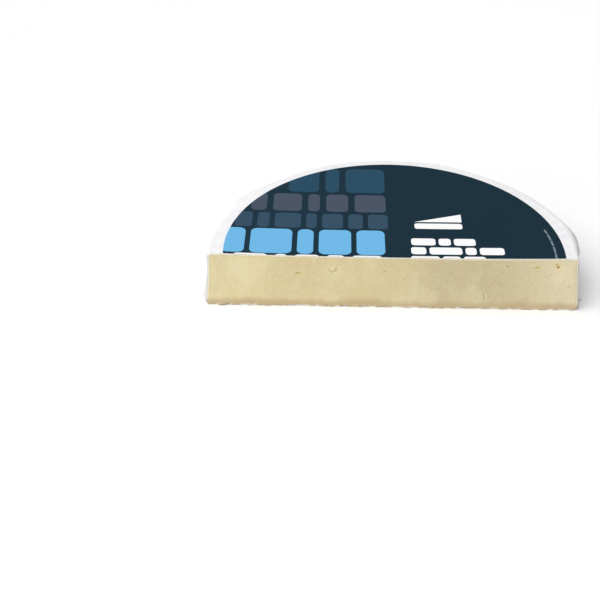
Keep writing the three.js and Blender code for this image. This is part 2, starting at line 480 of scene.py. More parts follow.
# From here to the lift of the torn foot, sizes are in millimetres and turns in degrees
Eye = namedtuple("Eye", "x z width height turn depth")
SLITS_AND_EYES = (
    (-69.5, 29.9, 5.4, 2.4, 16, 1.0),
    (-5.4, 32.6, 3.4, 1.7, 0, 0.8),
    (8.4, 25.6, 3.0, 1.6, -10, 0.7),
    (83.6, 39.0, 3.2, 1.6, 22, 0.8),
    (104.0, 38.0, 11.0, 3.4, -3, 0.35),
    (105.2, 37.9, 5.2, 1.9, -4, 0.8),
    (119.6, 39.9, 8.6, 5.8, 20, 0.5),
    (119.4, 40.8, 3.6, 2.4, 12, 0.8),
    (120.4, 38.4, 2.4, 2.6, -20, 1.5),
    (83.8, 27.5, 3.2, 1.4, -15, 0.5),
    (101.4, 27.8, 4.4, 2.6, 10, 0.45),
    (118.7, 27.7, 3.0, 2.2, 0, 0.4),
    (125.8, 25.7, 1.6, 1.4, 0, 0.6),
    (129.9, 21.8, 1.8, 1.3, 0, 0.7),
    (100.3, 10.6, 2.0, 1.6, 0, 0.8),
)
EYES = [Eye(*sizes) for sizes in SLITS_AND_EYES]
EYE_STRAY = 0.16  # share of an eye's half size by which its edge strays
EYE_GRAIN = 0.9
EYE_REACH = 1.6  # in widths of an eye
EYE_RAISED = 0.07  # share of its depth by which the ring round an eye is raised
FINE_REACH = 1.5  # the mesh is finer as far as this, in half sizes of an eye
DEEPEST = 1.5  # an eye this deep counts as fully hollow
HALO = 0.3  # how hollow the yellow ring round an eye counts
HALO_GAIN = 1.2

SMALL_PITS = 70
PIT_LEFT = -128
PIT_SPAN = 256
PIT_CROWDING = 0.6  # below 1, so that the pits are thicker towards the right end
PIT_LOW = 6
PIT_RISE = 34
PIT_HEIGHT = (0.7, 0.35)  # middle and spread
PIT_LENGTH = (1.4, 0.5)  # middle and spread, in heights
PIT_TURN = 40
PIT_DEPTH = 0.35  # in heights

# Waves left by the knife: depth, length, height and layer of noise
CUT_WAVES = ((0.22, 42, 26, 1.7), (0.09, 9, 16, 4.1))
DRAG_DEPTH = 0.045
DRAG_LEAN = 0.25
DRAG_WIDTH = 1.7
DRAG_LENGTH = 30
# Ridges, and grooves with a height below 0: middle across and along, lean, width, length and height
UPRIGHT_MARKS = ((70.6, 11.0, -0.12, 0.75, 2.6, 0.8), (68.9, 11.0, -0.12, 0.7, 2.4, -0.9))
LEVEL_RIDGE = (33.0, 113.6, 0.9, 0.8, 2.4, 0.45)
LEVEL_GROOVE = (11.6, 77.5, 0.12, 0.55, 3.6, -0.5)
GROOVE_WAVER = 0.5
GROOVE_WAVE = 2.1
# A pale flap with a curved groove round its lower side
FLAP_MIDDLE = (-44.3, 34.8)
FLAP_SQUASH = 1.2
FLAP_SIZE = 1.8
FLAP_HEIGHT = 0.9
CURL_MIDDLE = (-44.0, 33.8)
CURL_RADIUS = 2.6
CURL_WIDTH = 0.6
CURL_FADE = 1.5

EDGE_GIVE = 0.35  # how far the edges give way before the knife
EDGE_GIVE_REACH = 1.4
SMEAR_LENGTH = 3.1
SMEAR_BASE = 0.1
SMEAR_REACH = 2.6  # the foot is smeared as far up as this
SMEAR_DEPTH = 1.5
TOOTH = 2.2
BROAD_TOOTH = 8
BROAD_TOOTH_SHARE = 1.1
TEAR_HEIGHT = 1.5
TEAR_SINK = 0.1
SAG = 0.5  # how much lower the foot hangs towards the right end
SAG_START = 95
SAG_REACH = 20
LOWEST_TEAR = -0.4
HIGHEST_TEAR = 1.9
TEAR_REACH = 4


def section_radius(share, height, wheel):
    """Radius of the cheese at a share of its height, with both edges rounded."""
    radius = side_radius(share, wheel)
    below_top = (1 - share) * height
    above_foot = share * height
    for gap, edge in ((below_top, wheel.top_round), (above_foot, wheel.foot_round)):
        if gap < edge:
            radius -= edge - math.sqrt(edge * edge - (edge - gap) ** 2)
    return radius


def small_pits():
    """Places and sizes of the scattered pits."""
    pits = []
    for i in range(SMALL_PITS):
        x = PIT_LEFT + PIT_SPAN * around(0.5, 0.5, i + 400) ** PIT_CROWDING
        z = PIT_LOW + PIT_RISE * around(0.5, 0.5, i + 500)
        height = around(*PIT_HEIGHT, i + 600)
        width = height * around(*PIT_LENGTH, i + 700)
        pits.append(Eye(x, z, width, height, PIT_TURN * scatter(i + 800), PIT_DEPTH * height))
    return pits


def eye_distance(x, z, eye):
    """Distance from an eye's middle in units of its own half width and half height."""
    angle = math.radians(eye.turn)
    dx = x - eye.x
    dz = z - eye.z
    along = dx * math.cos(angle) - dz * math.sin(angle)
    across = dx * math.sin(angle) + dz * math.cos(angle)
    return math.hypot(2 * along / eye.width, 2 * across / eye.height)


def near_eyes(x, z, eyes, reach):
    """The eyes that can reach a place."""
    wide = [eye for eye in eyes if abs(x - eye.x) < reach * eye.width]
    return [eye for eye in wide if abs(z - eye.z) < reach * (eye.width + eye.height)]


def mark(across, along, middle_across, middle_along, lean, width, length, height):
    """Height of a leaning ridge, or with a height below 0 of a groove."""
    off = along - middle_along
    return height * bell(across - middle_across - lean * off, width) * bell(off, length)


def knife_marks(x, z):
    """How far the marks that the knife has left stand out of the cut face."""
    flap_x, flap_z = FLAP_MIDDLE
    curl_x, curl_z = CURL_MIDDLE
    out = FLAP_HEIGHT * bell(math.hypot(x - flap_x, FLAP_SQUASH * (z - flap_z)), FLAP_SIZE)
    curl = bell(math.hypot(x - curl_x, z - curl_z) - CURL_RADIUS, CURL_WIDTH)
    out -= FLAP_HEIGHT * curl * ease((flap_z - z) / CURL_FADE)
    out += sum(mark(x, z, *sizes) for sizes in UPRIGHT_MARKS)
    out += mark(z, x, *LEVEL_RIDGE)
    return out + mark(z - GROOVE_WAVER * wave(x / GROOVE_WAVE, 0, 14.0), x, *LEVEL_GROOVE)


def cut_relief(x, z, from_edge, foot_gap, eyes):
    """How far the cut face lies behind the knife's plane, and how hollow it is, at a place."""
    depth = sum(deep * wave(x / length, z / height, layer) for deep, length, height, layer in CUT_WAVES)
    depth += DRAG_DEPTH * wave((x + DRAG_LEAN * z) / DRAG_WIDTH, z / DRAG_LENGTH, 7.3)
    hollow = 0.0
    for eye in near_eyes(x, z, eyes, EYE_REACH):
        off = eye_distance(x, z, eye) + EYE_STRAY * wave(x / EYE_GRAIN, z / EYE_GRAIN, 9.0)
        if off < 1:
            depth += eye.depth * math.sqrt(1 - off * off)
            inner = (1 - HALO) * math.sqrt(1 - off) * min(1, eye.depth / DEEPEST)
            hollow = max(hollow, (HALO + inner) * min(1, HALO_GAIN * eye.depth))
        elif off < 2:
            depth -= EYE_RAISED * eye.depth * math.sin(math.pi * (off - 1))
            hollow = max(hollow, HALO * (2 - off) * min(1, eye.depth))
    depth -= knife_marks(x, z)
    depth += EDGE_GIVE * ease(1 - from_edge / EDGE_GIVE_REACH)
    smear = max(0.0, wave(x / SMEAR_LENGTH, 0.4, 12.0) + SMEAR_BASE) * ease(1 - foot_gap / SMEAR_REACH)
    return (depth - SMEAR_DEPTH * smear) * MM, hollow


def torn_lift(x, foot_gap):
    """How far the torn foot is drawn up at a place."""
    teeth = wave(x / TOOTH, 0, 61.0) + BROAD_TOOTH_SHARE * wave(x / BROAD_TOOTH, 0, 62.0)
    sunk = TEAR_SINK + SAG * ease((x - SAG_START) / SAG_REACH)
    lift = clamp(TEAR_HEIGHT * teeth - sunk, LOWEST_TEAR, HIGHEST_TEAR)
    return lift * MM * clamp(1 - foot_gap / TEAR_REACH) ** 2


def cheese_mesh(wheel, paper):
    """A grid for the cut face, shaped to the wheel's section, with its edge drawn round to the back."""
    grow = paper.lift - paper.thickness - SHEET_GAP
    foot = paper.thickness + SHEET_GAP
    height = PAPER_HIGH.z - paper.thickness - SHEET_GAP - foot
    shape = bmesh.new()
    bmesh.ops.create_grid(
        shape, x_segments=wheel.face_columns, y_segments=wheel.face_rows, size=0.5, calc_uvs=False
    )
    eyes = EYES + small_pits()
    near_edges = set()
    for face in shape.faces:
        middle = face.calc_center_median()
        x = middle.x * 2 * wheel.radius / MM
        z = foot / MM + (middle.y + 0.5) * height / MM
        if any(eye_distance(x, z, eye) < FINE_REACH for eye in near_eyes(x, z, EYES, 1)):
            near_edges.update(face.edges)
    # A set has no order of its own, so the edges are taken in the mesh's order
    fine_edges = [edge for edge in shape.edges if edge in near_edges]
    bmesh.ops.subdivide_edges(shape, edges=fine_edges, cuts=2, use_grid_fill=True)

    def start_angle(share):
        return math.asin(CUT_Y / (section_radius(share, height, wheel) + grow))

    def body_point(across, share, angle):
        """A point of the wheel: across the section from -1 to 1, up it from 0 to 1, and round it."""
        radius = section_radius(share, height, wheel) + grow
        swollen = radius + swell(angle if across > 0 else math.pi - angle, share)
        x = across * swollen * math.cos(angle)
        y = max(CUT_Y, swollen * math.sin(angle)) if angle > start_angle(share) + ANGLE_SLACK else CUT_Y
        sunk = PAPER_HIGH.z - top_height(math.hypot(x, y), wheel)
        return Vector((x, y, foot + share * (height - sunk)))

    layer_names = ("from_rind", "hollow", "across", "share")
    rind, hollows, across_layer, share_layer = [shape.verts.layers.float.new(name) for name in layer_names]
    edge_loop = [edge for edge in shape.edges if edge.is_boundary]
    for vert in shape.verts:
        across = 2 * vert.co.x
        share = vert.co.y + 0.5
        vert[across_layer] = across
        vert[share_layer] = share
        point = body_point(across, share, start_angle(share))
        side_gap = (1 - abs(across)) * wheel.radius / MM
        foot_gap = share * height / MM
        from_edge = min(side_gap, foot_gap, (1 - share) * height / MM)
        depth, hollow = cut_relief(point.x / MM, point.z / MM, from_edge, foot_gap, eyes)
        vert.co = point + Vector((0, depth, torn_lift(point.x / MM, foot_gap)))
        vert[rind] = from_edge
        vert[hollows] = hollow

    for turned in [TORN_LIP_SHARE] + [step / wheel.back_steps for step in range(1, wheel.back_steps + 1)]:
        drawn = bmesh.ops.extrude_edge_only(shape, edges=edge_loop)["geom"]
        edge_loop = [item for item in drawn if isinstance(item, bmesh.types.BMEdge)]
        for vert in [item for item in drawn if isinstance(item, bmesh.types.BMVert)]:
            share = vert[share_layer]
            first = start_angle(share)
            angle = first + (math.pi / 2 - first) * turned
            vert.co = body_point(vert[across_layer], share, angle)
            vert[rind] = 0
            vert[hollows] = 0
    bmesh.ops.remove_doubles(shape, verts=shape.verts, dist=MERGE_DISTANCE)
    bmesh.ops.recalc_face_normals(shape, faces=shape.faces)
    return shape


def paste_finish(wheel):
    """Soft, slightly moist paste with a thin rind where the knife has cut through it."""
    finish = Finish("brie_paste")
    x, _, z = finish.axes(finish.place)
    broad = finish.noise(14, detail=2)
    patches = finish.noise(1, detail=2, vector=finish.scaled((52, 52, 34)))
    fine = finish.noise(420, detail=4, roughness=0.65)
    drag = finish.noise(1, detail=4, vector=finish.scaled((520, 200, 38), (0, 0.25, 0)))
    mottle = finish.noise(110, detail=4, roughness=0.7, distortion=0.5)
    half_way = (0.654, 0.553, 0.309)
    light = (0.90, 0.83, 0.60)
    shade = (0.60, 0.50, 0.28)

    # Along the face the paste goes from buttery, over darker in the middle, to pale at the right end.
    # This is partly the paste's own tone and partly painted light: lighter at the left, painted shade in the
    # middle.
    # Each change has its start and end in millimetres, and the colour that it leads to.
    tone_and_shade_changes = ((-125, -60, half_way), (5, 38, wheel.paste_deep_and_shade), (72, 130, wheel.paste_pale))
    body = wheel.paste
    for start, end, colour in tone_and_shade_changes:
        body = finish.mix(finish.span(x, start * MM, end * MM), body, colour)

    # Each mark has its texture, the values at which it starts and is full, its strength and its colour
    marks = (
        (broad, 0.4, 0.7, 0.3, wheel.paste_deep_and_shade),
        (patches, 0.46, 0.66, 0.23, (0.84, 0.77, 0.52)),
        (patches, 0.5, 0.32, 0.16, shade),
        (mottle, 0.45, 0.75, 0.11, light),
        (mottle, 0.48, 0.28, 0.12, shade),
        (fine, 0.42, 0.75, 0.2, light),
        (drag, 0.5, 0.75, 0.16, (0.66, 0.55, 0.32)),
    )
    for texture, start, end, share, colour in marks:
        body = finish.mix(finish.span(texture, start, end, 0, share), body, colour)

    # A tan band of wavering height just over the foot
    waver = finish.times(finish.math("SUBTRACT", patches, 0.5), 8 * MM)
    foot_band = finish.span(finish.math("ADD", z, waver), 1.8 * MM, 9.5 * MM, 0.95, 0)
    body = finish.mix(foot_band, body, (0.53, 0.41, 0.24))

    # The rind shows as a thin cream line, grey-brown with white bits along the foot
    stray = finish.times(finish.math("SUBTRACT", fine, 0.5), 1.4)
    ragged = finish.math("ADD", finish.attribute("from_rind"), stray)
    body = finish.mix(finish.span(ragged, 0.6, 3.5, 0.4, 0), body, (0.62, 0.52, 0.29))
    bits = finish.noise(1, detail=2, vector=finish.scaled((170, 60, 300)))
    foot_rind = finish.mix(finish.span(bits, 0.5, 0.58), (0.50, 0.39, 0.25), (0.88, 0.84, 0.76))
    crust = finish.mix(finish.span(z, 2 * MM, 6 * MM), foot_rind, wheel.rind)
    body = finish.mix(finish.span(ragged, 0.55, 1.15, 0.95, 0), body, crust)

    # Eyes have a yellow ring, and the deepest go brown inside
    hollow = finish.attribute("hollow")
    stops = ((0.0, (0.78, 0.70, 0.33)), (0.5, (0.68, 0.59, 0.28)), (1.0, (0.66, 0.46, 0.22)))
    inside = finish.ramp(hollow, stops)
    body = finish.mix(finish.span(hollow, 0.02, 0.5, 0, 0.85), body, inside)

    pores = finish.cells(330)
    lumps = finish.noise(180, detail=5, roughness=0.6)
    normal = finish.bump(finish.span(pores, 0, 0.5), 0.16, 0.3 * MM)
    normal = finish.bump(lumps, 0.22, 0.5 * MM, normal)
    normal = finish.bump(drag, 0.3, 0.4 * MM, normal)
    finish.set(
        Base_Color=body,
        Roughness=finish.span(fine, 0.3, 0.75, 0.42, 0.62),
        Normal=normal,
        Subsurface_Weight=0.35,
        Subsurface_Radius=(1.0, 0.62, 0.28),
        Subsurface_Scale=3.5 * MM,
        Specular_IOR_Level=0.35,
    )
    return finish.material


class BRIE_OT_cheese(bpy.types.Operator):
    """Builds the half wheel of cheese with its cut face"""

    bl_idname = "brie.cheese"
    bl_label = "Cheese"

    def execute(self, context):
        wheel = context.scene.brie_wheel
        shape = cheese_mesh(wheel, context.scene.brie_paper)
        finish_piece(shape, "brie_half", "cheese", paste_finish(wheel))
        return {"FINISHED"}


# The wrapping paper

# A pair is a middle value and how far chance or noise moves it, except where it is a corner or a size
PLEAT_JITTER = 0.32
PLEAT_LEAN = math.radians(3.2)
PLEAT_TIP = -0.2
PLEAT_SPREAD = (11, 7)
LOWEST_PLEAT = 0.2
PLEAT_RANGE = 0.4
RIM_PLEAT_SHARE = 0.2  # a fold stands out this small where it starts
FOLD_START = 0.12  # and reaches that over this share of its length
TUCKS_PER_PLEAT = 2
TUCK_JITTER = 0.45
TUCK_LEAN = 22 * MM
TUCK_HEIGHT = (0.6, 0.4)
TUCK_SPREAD = (10, 6)
RIM_TUCKS = -0.3  # the lower this is, the more of the tucks start under the rim
RIM_TUCK_TIP = 0.04
LOW_TUCK_TIP = (0.35, 0.2)
FLAP_TIP = 1.5 * MM
EDGE_LINE = 0.7 * MM  # width of the line along a fold's edge
EDGE_DROP = 0.45 * MM  # over this much the sheet drops off behind the edge
EDGE_DIP = 3 * MM  # this far behind the edge the sheet is level again
DIP_SHARE = 0.15  # share of its height by which the sheet dips behind a fold's edge
CLEAR_FOLD = 2 * MM  # from this height on a fold's edge shows in full
NEAR_SLACK = 12 * MM  # for the columns that are pulled aside
PULL_SHARE = 0.72
PULL_REACH = 10 * MM

RIM_ROUND = 2.2 * MM
FOOT_ROUND = 4.2 * MM
RIM_ARC = RIM_ROUND * math.pi / 2
SIDE_LENGTH = PAPER_HIGH.z - RIM_ROUND - FOOT_ROUND
FLAT_RADII = (0, 24 * MM, 70 * MM, HUB_RADIUS, 121 * MM)
BEND_ROWS = 7
MARGIN_ROWS = 9  # between the label and the rim
UNDER_STEPS = 20
UNDER_ROWS = 13  # the steps that are rows, from the foot inwards
INSIDE_COLUMNS = 64

# Corners where the paper is pushed out, under the rim and at the foot: angle and distance,
# in degrees and millimetres
RIM_CORNERS = [
    (7, 5.5), (15.5, 11.9), (27, 8.2), (38, 8.2), (60, 1.5), (72, 3.6), (110, 0.8), (141, 5.2), (149, 7.2)
]
FOOT_CORNERS = [
    (9, 2.0), (24, 4.0), (43, 4.4), (61, 3.4), (84, 2.8), (106, 2.4), (124, 4.2), (141, 4.6), (159, 3.0)
]
LOOSEST = 0.25  # share of the way down the side where the paper stands out most
CREASE_LOOSE = 0.8  # share of that at the rim's crease
CREASE_LESS = 0.42  # how much smaller that share is at the right end
CREASE_ANGLE = math.radians(52)
CREASE_REACH = math.radians(15)
TOP_LOOSE = 0.15
TOP_REACH = 6 * MM  # over this much the folds and the looseness run out on the top
FOOT_LESS = 0.75
FOOT_FULL = 0.9
FOOT_POWER = 1.3
AT_CUT = 0.1  # share of the folds and of the looseness that is left at the cut
CUT_REACH = math.radians(8)

CALM_ANGLE = math.radians(94)  # the folds are lowest here
CALM_SPREAD = math.radians(22)
CALMER = 0.6
TOUCHING = -0.27 * MM  # the folded sheet can't sink deeper than this into the plain wrap
HUG_REACH = 15 * MM  # the folds die away this close to the cut
AT_RIM = 0.1  # share of the folds that is left at the rim
RIM_START = 0.8 * RIM_ARC
RIM_REACH = 5 * MM
FOLDS_END = 1.8  # the folds run out under the foot
TOP_SHARE = 0.4  # share of the folds on the top
UNDER_SHARE = 0.12
UNDER_LIFT = 0.3 * MM
LOOSE_SHOWS = 0.12  # share of the looseness that counts as proud
SWELL_REACH = 20 * MM

# The lip of the rim, the gathers under it and the bunches at the foot
LIP_END = (5.4, 1.6)
LIP_END_WAVE = 13 * MM
LIP_HEIGHT = 0.8 * MM
LIP_UNEVEN = (0.9, 0.6)
LIP_WAVE = 30 * MM
LIP_START = 1.5 * MM
LIP_RISE = 3 * MM
LIP_FALL = 0.7 * MM
GATHER_HEIGHT = 0.6 * MM
GATHER_BASE = 0.3
GATHER_WIDTH = 3.4 * MM
GATHER_LENGTH = 16 * MM
GATHER_MIDDLE = 11 * MM
GATHER_REACH = 7 * MM
BUNCH_HEIGHT = 1.5 * MM
BUNCH_BASE = 0.35
BUNCH_WIDTH = 2.6 * MM
BUNCH_LENGTH = 15 * MM
BUNCH_REACH = 5 * MM
BUNCH_START = 0.5
BUNCH_RISE = 0.45

# Facets of the crumpled sheet: width and height in metres, slant per metre, and strength
BROAD_FACET = (0.025, 0.022)
MIDDLE_FACET = (0.011, 0.013)
SMALL_FACET = (0.0055, 0.0065)
BROAD_SLANT = 0.4 / 0.03
MIDDLE_SLANT = 0.3 / 0.01
MIDDLE_STRENGTH = 0.5
SMALL_STRENGTH = 0.22
FACET_BEND = 0.5
FACET_BEND_SIZE = 0.026
BUSY_UNEVEN = (0.5, 1.3)
BUSY_SIZE = (0.05, 0.06)

FOOT_RECESS = 2.2 * MM  # how far the cut edge under the foot strays back
RECESS_REACH = 5 * FOOT_RECESS
RECESS_HEIGHT = 3 * MM
RECESS_UNEVEN = (0.75, 0.6)
RECESS_WAVE = 7 * MM

# A row of the wrap's section. turned is 0 where the sheet faces up, 1 where it faces out and 2 where it
# faces down, and down is the way along the sheet from the rim.
Row = namedtuple("Row", "radius height turned down")


def wrap_section(wheel, paper):
    """Rows of the plain wrap from the middle of the top, down the side, to the middle of the underside."""
    rim_middle = wheel.radius + paper.lift - RIM_ROUND
    foot_middle = side_radius(0, wheel) + paper.lift - FOOT_ROUND
    high = top_height(rim_middle, wheel) - RIM_ROUND
    margin = rim_middle - LABEL_HIGH.x
    radii = [*FLAT_RADII, *(LABEL_HIGH.x + margin * i / MARGIN_ROWS for i in range(MARGIN_ROWS))]
    points = [(radius, top_height(radius, wheel), 0) for radius in radii]
    for i in range(BEND_ROWS):
        turned = i / BEND_ROWS
        angle = turned * math.pi / 2
        points.append((rim_middle + RIM_ROUND * math.sin(angle), high + RIM_ROUND * math.cos(angle), turned))
    for i in range(paper.side_rows):
        height = high - SIDE_LENGTH * i / paper.side_rows
        points.append((side_radius(height_share(height), wheel) + paper.lift, height, 1))
    for i in range(BEND_ROWS):
        turned = i / BEND_ROWS
        angle = turned * math.pi / 2
        radius = foot_middle + FOOT_ROUND * math.cos(angle)
        points.append((radius, FOOT_ROUND * (1 - math.sin(angle)), 1 + turned))
    under = [foot_middle * (1 - i / UNDER_STEPS) for i in range(UNDER_ROWS)]
    points += [(radius, 0, 2) for radius in (*under, FLAT_RADII[1], FLAT_RADII[0])]
    rows = []
    down = -rim_middle
    for before, point in zip(points[:1] + points, points):
        down += math.dist(before[:2], point[:2])
        rows.append(Row(*point, down))
    return rows


def drop_of(row):
    """Share of the way down the side, below 0 on the rim and above 1 under the foot."""
    return (row.down - RIM_ARC) / SIDE_LENGTH


class Fold:
    """A flap of doubled paper that widens from its tip and rises flat to a crisp edge on one side."""

    def __init__(self, angle, tip, lean, spread, height, seed):
        self.angle = angle
        self.tip = tip
        self.lean = lean
        self.spread = spread
        self.height = height
        self.side = 1 if scatter(seed) > 0 else -1
        self.reach = abs(lean) + spread + FLAP_TIP + EDGE_DIP

    def edge(self, drop, radius):
        """Angle of the crisp edge, which leans on its way down."""
        return self.angle + self.lean * clamp(drop) / radius

    def rise(self, angle, radius, drop):
        """How far the fold stands out at a place, and how near its edge is, from 0 to 1."""
        grown = min((drop - self.tip) / (1 - self.tip), 1)
        across = self.side * (angle - self.edge(drop, radius)) * radius
        width = FLAP_TIP + self.spread * max(grown, 0)
        if grown <= 0 or not -width < across < EDGE_DIP:
            return 0.0, 0.0
        started = ease(grown / FOLD_START)
        height = self.height * from_least(RIM_PLEAT_SHARE, grown) * started
        near = bell(across, EDGE_LINE) * started * min(height / CLEAR_FOLD, 1)
        if across <= 0:
            return height * (1 + across / width), near
        if across <= EDGE_DROP:
            return height * (1 - (1 + DIP_SHARE) * across / EDGE_DROP), near
        return -DIP_SHARE * height * (1 - (across - EDGE_DROP) / (EDGE_DIP - EDGE_DROP)), near


def main_folds(wheel, paper):
    """The main folds from just before the cut's right end to just past its left end."""
    folds = []
    for number in range(-2, paper.pleats // 2 + 3):
        lap, i = divmod(number, paper.pleats)
        angle = around(i, PLEAT_JITTER, i + 1) * TURN / paper.pleats + lap * TURN
        lean = PLEAT_LEAN * scatter(i + 60) * wheel.radius
        spread = around(*PLEAT_SPREAD, i + 150) * MM
        height = paper.pleat_height * (LOWEST_PLEAT + PLEAT_RANGE * (1 + scatter(i + 90)) ** 2)
        folds.append(Fold(angle, PLEAT_TIP, lean, spread, height, i + 120))
    return folds


def small_folds(paper):
    """Slanted tucks between the main folds."""
    folds = []
    tucks = paper.pleats * TUCKS_PER_PLEAT
    for i in range(-3, tucks // 2 + 4):
        angle = around(i, TUCK_JITTER, i + 900) * TURN / tucks
        tip = RIM_TUCK_TIP if scatter(i + 870) > RIM_TUCKS else around(*LOW_TUCK_TIP, i + 840)
        height = paper.pleat_height * around(*TUCK_HEIGHT, i + 930)
        spread = around(*TUCK_SPREAD, i + 990) * MM
        folds.append(Fold(angle, tip, TUCK_LEAN * scatter(i + 960), spread, height, i + 1020))
    return folds


def taut(angle, radius, corners):
    """How far a sheet drawn tight over pushed-out corners stands away from the round side at an angle."""
    out = 0.0
    for at, push in corners:
        half = math.acos(radius / (radius + push * MM))
        off = abs(angle - math.radians(at))
        if off < half:
            out = max(out, radius / math.cos(half - off) - radius)
    for (first, first_push), (last, last_push) in zip(corners, corners[1:]):
        start = math.radians(first)
        end = math.radians(last)
        if start < angle < end:
            near = radius + first_push * MM
            far = radius + last_push * MM
            leans = near * math.sin(angle - start) + far * math.sin(end - angle)
            out = max(out, near * far * math.sin(end - start) / leans - radius)
    return out


def looseness(angle, row, wheel):
    """How far the paper stands away from the side at an angle in a row of the section."""
    drop = drop_of(row)
    crease = CREASE_LOOSE - CREASE_LESS * ease((CREASE_ANGLE - angle) / CREASE_REACH)
    if row.turned < 1:
        rim = TOP_LOOSE * ease(1 + row.down / TOP_REACH) + (crease - TOP_LOOSE) * row.turned
    elif drop < LOOSEST:
        rim = crease + (1 - crease) * drop / LOOSEST
    else:
        rim = 1 - FOOT_LESS * clamp((drop - LOOSEST) / (1 - LOOSEST))
    foot = clamp(drop / FOOT_FULL) ** FOOT_POWER
    under = 2 - max(row.turned, 1)
    from_cut = math.pi / 2 - abs(angle - math.pi / 2)
    out_rim = rim * taut(angle, wheel.radius, RIM_CORNERS)
    out_foot = foot * taut(angle, wheel.radius, FOOT_CORNERS)
    return max(out_rim, out_foot) * under * from_least(AT_CUT, ease(from_cut / CUT_REACH))


def facets(u, v, seed):
    """Height from 0 to 1 of a sheet of flat triangles, at a place in units of their size."""
    column = math.floor(u)
    row = math.floor(v)
    across = u - column
    along = v - row

    def corner(right, low):
        return around(0.5, 0.5, 17 * (column + right) + 59 * (row + low) + seed)

    here, far = (0, 1) if scatter(31 * column + 73 * row + seed) > 0 else (1, 0)
    if here:
        across = 1 - across
    if across + along < 1:
        low = corner(here, 0)
        return low + across * (corner(far, 0) - low) + along * (corner(here, 1) - low)
    high = corner(far, 1)
    return high + (1 - across) * (corner(here, 1) - high) + (1 - along) * (corner(far, 0) - high)


def crumple(along, down, paper):
    """Flat dents with sharp ridges between them, as in crushed paper, at a place on the unrolled sheet."""
    bent = FACET_BEND * wave(along / FACET_BEND_SIZE, down / FACET_BEND_SIZE, 3.3)
    swung = FACET_BEND * wave(along / FACET_BEND_SIZE, down / FACET_BEND_SIZE, 6.1)

    def dents(size, right, low, seed):
        """Facets of one size, moved over, that dent the sheet as much as they raise it."""
        width, height = size
        return facets(along / width + right, down / height + low, seed) - 0.5

    broad = dents(BROAD_FACET, bent + BROAD_SLANT * down, swung, 5)
    middle = dents(MIDDLE_FACET, -swung, bent - MIDDLE_SLANT * along, 11)
    small = dents(SMALL_FACET, bent, -swung, 23)
    width, height = BUSY_SIZE
    busy = ease(moved(BUSY_UNEVEN, wave(along / width, down / height, 15.0)))
    return paper.crumple * (broad + MIDDLE_STRENGTH * middle + SMALL_STRENGTH * busy * small)


